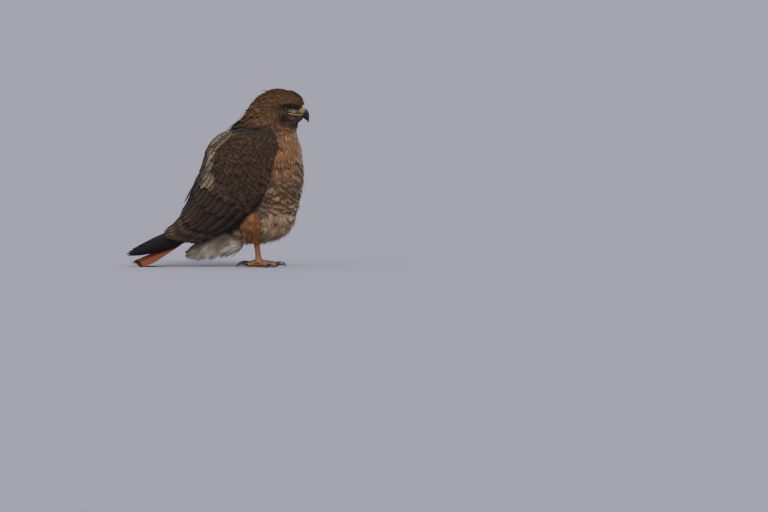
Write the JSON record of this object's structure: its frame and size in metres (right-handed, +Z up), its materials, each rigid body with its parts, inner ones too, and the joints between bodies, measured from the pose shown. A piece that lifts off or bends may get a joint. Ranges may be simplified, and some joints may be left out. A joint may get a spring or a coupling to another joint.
{
  "type": "red tailed hawk",
  "caption": "Life-size red tailed hawk standing at rest with folded wings, its tail laid back to the ground it stands on.",
  "frame": {"origin": "middle of the bird's footprint box, on the ground it stands on", "axes": "+X forwards, the way the bill points; +Y to the bird's left; +Z up"},
  "size_m": [0.347, 0.1576, 0.3366],
  "materials": {
    "head_feathers": "matt, warm dark brown",
    "neck_feathers": "matt, rufous brown",
    "breast_feathers": "matt, buff with brown streaks and bars",
    "wing_feathers": "matt, dark brown with pale edges",
    "tail_feathers": "matt, rufous with a dark band near the tip",
    "trouser_feathers": "matt, orange buff",
    "vent_feathers": "matt, white and soft",
    "leg_scales": "satin, yellow scales",
    "cere_skin": "satin, waxy yellow",
    "bill_horn": "glossy, slate horn",
    "claw_horn": "glossy, black horn",
    "eye": "wet gloss, pale brown iris"
  },
  "bodies": {
    "root": {"bill_lower": "bill_horn", "bill_upper": "bill_horn", "cere": "cere_skin", "claw_hind_left": "claw_horn", "claw_hind_right": "claw_horn", "claw_inner_left": "claw_horn", "claw_inner_right": "claw_horn", "claw_middle_left": "claw_horn", "claw_middle_right": "claw_horn", "claw_outer_left": "claw_horn", "claw_outer_right": "claw_horn", "eye_left": "eye", "eye_right": "eye", "foot_left": "leg_scales", "foot_right": "leg_scales", "head": "head_feathers", "neck": "neck_feathers", "tail": "tail_feathers", "tarsus_left": "leg_scales", "tarsus_right": "leg_scales", "thigh_left": "trouser_feathers", "thigh_right": "trouser_feathers", "torso": "breast_feathers", "undertail": "vent_feathers", "wing_left": "wing_feathers", "wing_right": "wing_feathers"}
  },
  "joints": []
}
